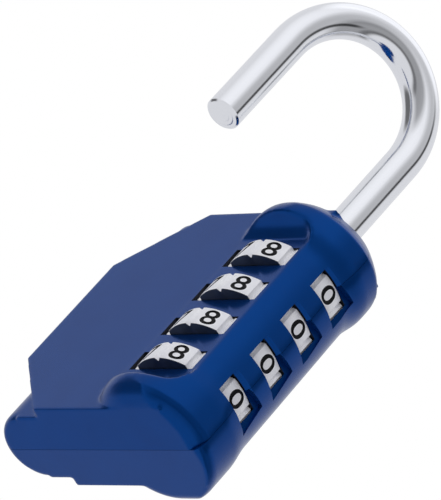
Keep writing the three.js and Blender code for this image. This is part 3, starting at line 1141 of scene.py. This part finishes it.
@dataclass
class Shackle:
    """The bent rod with its four lugs, lifted and swung out to the front."""

    radius: float = 2.87
    span: float = SPAN
    arch_start: float = 45.3
    arch_aspect: float = 1.157
    toe_end: float = 27.2
    heel_end: float = -10.0
    swing: float = 68.0
    sides: int = 64
    arch_steps: int = 72
    lug_tip: float = 4.25
    lug_half: float = 1.1
    lug_half_height: float = 1.2
    toe_rings: Outline = (
        (0.3, 0.0), (0.1, 0.012), (0.22, 0.0), (0.1, -0.01), (0.28, 0.0), (0.1, 0.012), (0.25, 0.0),
        (0.1, -0.01), (0.25, 0.0), (0.1, 0.012), (0.3, 0.0), (0.1, -0.01),
    )  # fmt: skip

    def build(self) -> bpy.types.Object:
        """Makes the shackle.

        Returns:
            The finished rod.
        """
        deselect_all()
        bpy.ops.mesh.primitive_circle_add(
            vertices=self.sides, radius=self.radius, fill_type="NGON", location=(0, 0, self.heel_end)
        )
        rod = bpy.context.object
        rod.name = "shackle_rod"
        bpy.ops.object.transform_apply(location=True, rotation=True, scale=True)
        with editing(rod, "FACE"):
            bpy.ops.mesh.select_all(action="SELECT")
            for step, turn, at in self._steps():
                bpy.ops.mesh.extrude_region_move(TRANSFORM_OT_translate={"value": step})
                if turn:
                    bpy.ops.transform.rotate(value=turn, orient_axis="Y", center_override=at)
            self._finish_toe()
        finish_mesh(rod)
        with editing(rod, "EDGE"):
            heel = self.heel_end
            pick_edges(rod, lambda a, b: abs(a.z - heel) < 0.01 and abs(b.z - heel) < 0.01)
            bpy.ops.mesh.bevel(offset=0.35, segments=3)
        paint(rod, Finishes.CHROME)
        for z in DIAL_HEIGHTS:
            middle = z + PITCH / 2
            low = (-self.lug_tip, -self.lug_half, middle - self.lug_half_height)
            lug = block("lug", low, (-1, self.lug_half, middle + self.lug_half_height))
            with editing(lug, "EDGE"):
                bpy.ops.mesh.select_all(action="SELECT")
                bpy.ops.mesh.bevel(offset=0.15, segments=2)
            combine(rod, paint(lug, Finishes.CHROME), Cut.JOIN)
        select_only(rod)
        rod.matrix_world = Matrix.Rotation(math.radians(self.swing), 4, "Z")
        bpy.ops.object.transform_apply(location=True, rotation=True, scale=True)
        return place_in_row(rod, 35.0)

    def _line(self, angle: float) -> Vector:
        """A point on the arch's centre line.

        Args:
            angle: 0 on the heel's side, pi on the toe's side.

        Returns:
            The point.
        """
        half = self.span / 2
        height = self.arch_start + half * self.arch_aspect * math.sin(angle)
        return Vector((half * (math.cos(angle) - 1), 0, height))

    def _steps(self) -> list[tuple[Vector, float, Vector]]:
        """The moves that draw the rod out.

        Returns:
            For each move its shift, its turn about y in radians, and where the end then stands.
        """
        moves = []
        here = Vector((0, 0, self.heel_end))
        heading = 0.0
        for height in (20.0, 36.0, self.arch_start):
            there = Vector((0, 0, height))
            moves.append((there - here, 0.0, there))
            here = there
        for i in range(1, self.arch_steps + 1):
            a = math.pi * i / self.arch_steps
            there = self._line(a)
            slope = Vector((-math.sin(a), 0, self.arch_aspect * math.cos(a)))
            facing = math.atan2(-slope.x, slope.z)
            moves.append((there - here, facing - heading, there))
            here, heading = there, facing
        for height in (36.0, self.toe_end):
            there = Vector((-self.span, 0, height))
            moves.append((there - here, 0.0, there))
            here = there
        return moves

    def _finish_toe(self) -> None:
        """Bevels the toe and turns shallow rings into its end."""
        middle = (-self.span, 0, self.toe_end)
        edge = 0.28
        bpy.ops.mesh.extrude_region_move(TRANSFORM_OT_translate={"value": (0, 0, -edge)})
        shrink = (self.radius - edge) / self.radius
        bpy.ops.transform.resize(value=(shrink, shrink, 1), center_override=middle)
        for width, depth in self.toe_rings:
            bpy.ops.mesh.inset(thickness=width, depth=0)
            if depth:
                bpy.ops.transform.translate(value=(0, 0, depth))


# ---- The studio ------------------------------------------------------------------------------------


@dataclass
class Studio:
    """The camera, the pale floor and the soft light around the lock."""

    lens: float = 435.28
    floor_depth: float = -0.62
    surround: float = 0.8

    def build(self) -> None:
        """Sets up the camera, the floor and the lights."""
        self._camera()
        self._floor()
        self._sky()

    def _camera(self) -> None:
        """A long lens, below and to the right of the lock, looking up at it."""
        deselect_all()
        bpy.ops.object.camera_add()
        camera = bpy.context.object
        camera.name = "product_camera"
        camera.data.lens = self.lens
        camera.data.sensor_width = 36.0
        camera.data.clip_end = 20.0
        turn = Matrix(CAMERA_AXES).transposed()
        place = Vector(CAMERA_PLACE) * MILLIMETRE
        camera.matrix_world = Matrix.Translation(place) @ turn.to_4x4()
        bpy.context.scene.camera = camera

    def _floor(self) -> None:
        """A wide pale floor well below the lock."""
        deselect_all()
        bpy.ops.mesh.primitive_plane_add(size=8.0, location=(0, 0, self.floor_depth))
        floor = bpy.context.object
        floor.name = "studio_floor"
        matt = SatinMetal("floor_paper", (236, 236, 238), 0.8, (230, 230, 233), 0.0, (1, 1, 1), 0.0)
        paint(floor, matt)
        floor.visible_glossy = False

    def _sky(self) -> None:
        """A white surround with a brighter side and a few dark cards, which the gloss reflects."""
        world = bpy.data.worlds.new("soft_studio")
        bpy.context.scene.world = world
        world.use_nodes = True
        tree = world.node_tree
        tree.nodes.clear()
        way = node(tree, "ShaderNodeTexCoord", output="Generated")

        def along(direction: Point) -> Socket:
            """How far the surround's direction points this way, from -1 to 1."""
            unit = tuple(Vector(direction).normalized())
            dot = {"operation": "DOT_PRODUCT"}
            return node(tree, "ShaderNodeVectorMath", dot, {0: way, 1: unit}, "Value")

        bright = along((0.37, -0.73, 0.57)).clamp(0.72, 1.0, 0.0, 1.0)
        dim = along((0.86, 0.12, 0.5)).clamp(0.8, 1.0, 0.0, 1.0)
        across = along((-0.545, 0.838, 0.0))
        card = (across * across).clamp(0.003, 0.022, 1.0, 0.0)
        card = card * along((0.838, 0.545, 0.0)).clamp(0.0, 0.2, 0.0, 1.0)
        card = card * along((0.0, 0.0, 1.0)).clamp(0.75, 0.9, 1.0, 0.0)
        card = card * along((0.0, 0.0, 1.0)).clamp(-0.3, -0.1, 0.0, 1.0)
        up = along((0.0, 0.0, 1.0))
        rightward = along((1.0, 0.0, 0.0)).clamp(-0.25, 0.15, 0.0, 1.0)
        horizon = up.clamp(-0.55, -0.4, 0.0, 1.0) * up.clamp(0.1, 0.35, 1.0, 0.0) * rightward
        line = up.clamp(-0.62, -0.5, 0.0, 1.0) * up.clamp(-0.45, -0.3, 1.0, 0.0) * rightward
        overhead = up.clamp(0.85, 0.93, 0.0, 1.0)
        level = (self.surround + bright * 0.22 - dim * 0.28) * (1 - card * 0.9) * (1 - horizon * 0.55)
        level = level * (1 - line * 0.7) + overhead * 0.3
        corner = along((-0.71, -0.64, -0.15)).clamp(0.87, 0.95, 0.0, 1.0)
        level = level * (1 - corner * 0.8)
        seen = node(tree, "ShaderNodeLightPath", output="Is Camera Ray")
        level = level * (1 - seen) + seen
        cool = {"Red": seen * 0.045 + 0.955, "Green": seen * 0.04 + 0.96, "Blue": 1.0}
        tint = node(tree, "ShaderNodeCombineColor", values=cool)
        surround = node(tree, "ShaderNodeBackground", values={"Color": tint, "Strength": level})
        out = tree.nodes.new("ShaderNodeOutputWorld")
        tree.links.new(surround.output, out.inputs["Surface"])
        scene = bpy.context.scene
        scene.view_settings.view_transform = "Standard"
        scene.view_settings.look = "None"


CAMERA_AXES = (
    (0.703224, 0.446169, 0.553542), (0.021407, -0.791510, 0.610781), (0.710646, -0.417667, -0.566160)
)
"""The camera's right, up and backward directions."""
CAMERA_PLACE = (651.564, -390.402, -480.126)
"""Where the camera stands, in millimetres from the row's origin."""


# ---- The whole lock --------------------------------------------------------------------------------


def dress_inner_pieces(nodes: dict[str, bpy.types.Object]) -> None:
    """Gives the CAD pieces inside the lock their finishes.

    Args:
        nodes: the frame's CAD nodes by name.
    """
    inner = {
        "heel_bush": Finishes.BRASS,
        "spring_cap": Finishes.ZINC,
        "spring_seat": Finishes.ZINC,
        "shackle_spring": Finishes.SPRING,
        "detent_comb": Finishes.SPRING,
    }
    for name, piece in nodes.items():
        finish = inner.get(name)
        if name.startswith("code_ring"):
            finish = Finishes.BRASS
        if name.startswith("assembly_pin"):
            finish = Finishes.ZINC
        if finish:
            paint(piece, finish)
            log.info("dressed %s", name)


def attach(piece: bpy.types.Object, body: str, node_name: str) -> None:
    """Makes a piece ride on a body and stand for a CAD node.

    Args:
        piece: the finished piece.
        body: the CAD body that it moves with.
        node_name: the CAD node that it stands for.
    """
    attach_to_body(piece, body)
    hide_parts(node_name)
    log.info("%s rides on %s: %d faces", piece.name, body, len(piece.data.polygons))


def main() -> None:
    """Builds the lock, piece by piece, and its studio."""
    logging.basicConfig(level=logging.INFO, format="%(message)s")
    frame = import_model()
    dress_inner_pieces(frame["nodes"])
    front, back = BodyShells().build()
    attach(front, "body", "front_shell")
    attach(back, "body", "back_shell")
    for i, dial in enumerate(NumberDial().build()):
        attach(dial, f"dial_{i + 1}", f"dial_ring_{i + 1}")
    attach(Shackle().build(), "shackle", "shackle")
    Studio().build()


if __name__ == "__main__":
    main()
